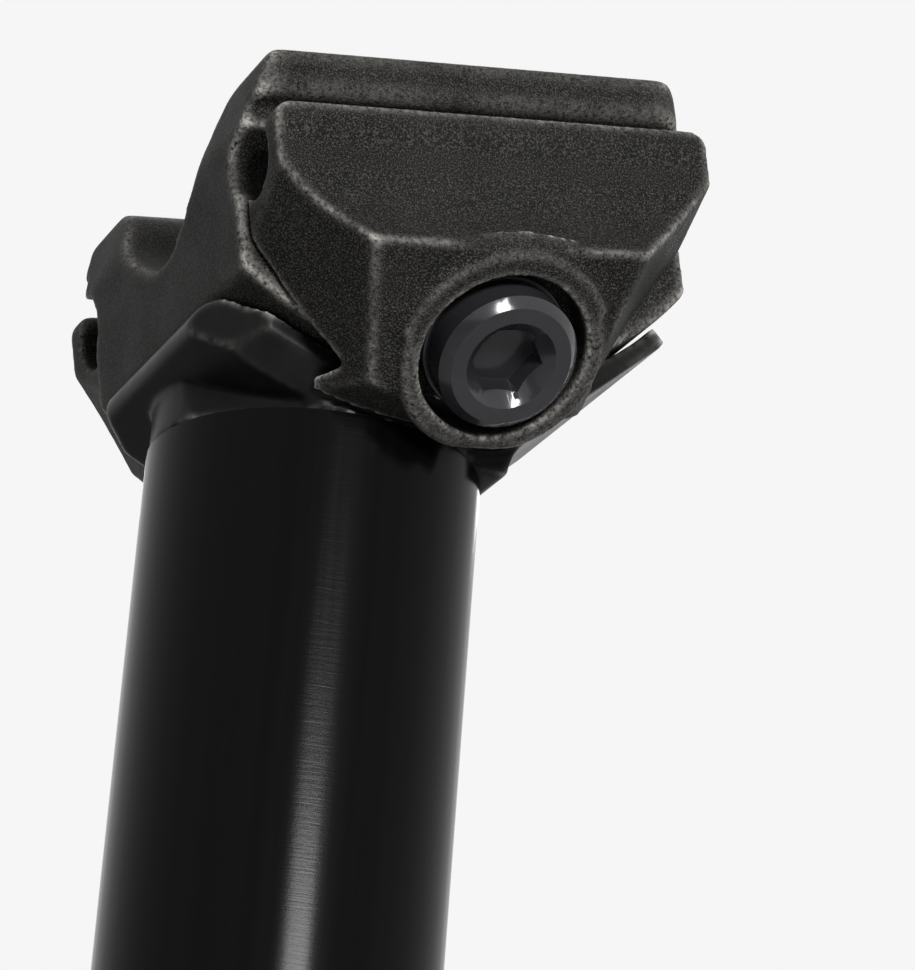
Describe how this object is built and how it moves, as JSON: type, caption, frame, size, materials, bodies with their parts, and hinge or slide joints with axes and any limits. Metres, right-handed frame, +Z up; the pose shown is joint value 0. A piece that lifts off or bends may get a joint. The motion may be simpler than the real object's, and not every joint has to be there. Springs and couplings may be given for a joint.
{
  "type": "bicycle seatpost",
  "caption": "Round bicycle seatpost with a forged trough head and a tilting saddle clamp whose side jaws grip the saddle's rails under socket head bolts.",
  "frame": {"origin": "centre of the tube's lower end", "axes": "+Z up the tube's axis, +X to the rear of the bicycle, +Y to the bicycle's right side"},
  "size_m": [0.0465, 0.0646, 0.3597],
  "materials": {
    "tube_black": "satin black anodised with a fine brushed grain",
    "head_black": "satin black anodised forging",
    "clamp_black": "grainy blasted black with worn bright edges",
    "bolt_black": "glossy black oxide"
  },
  "bodies": {
    "post": {"post_tube": "tube_black", "head": "head_black"},
    "clamp": {"cradle": "clamp_black", "jaw_left": "clamp_black", "jaw_right": "clamp_black", "washer_left": "bolt_black", "washer_right": "bolt_black", "bolt_left": "bolt_black", "bolt_right": "bolt_black"}
  },
  "joints": [
    {"name": "saddle_tilt", "type": "hinge", "parent": "post", "child": "clamp", "pos_m": [0.0022, 0, 0.3586], "axis": [0, 1, 0], "range_deg": [-18, 18]}
  ]
}
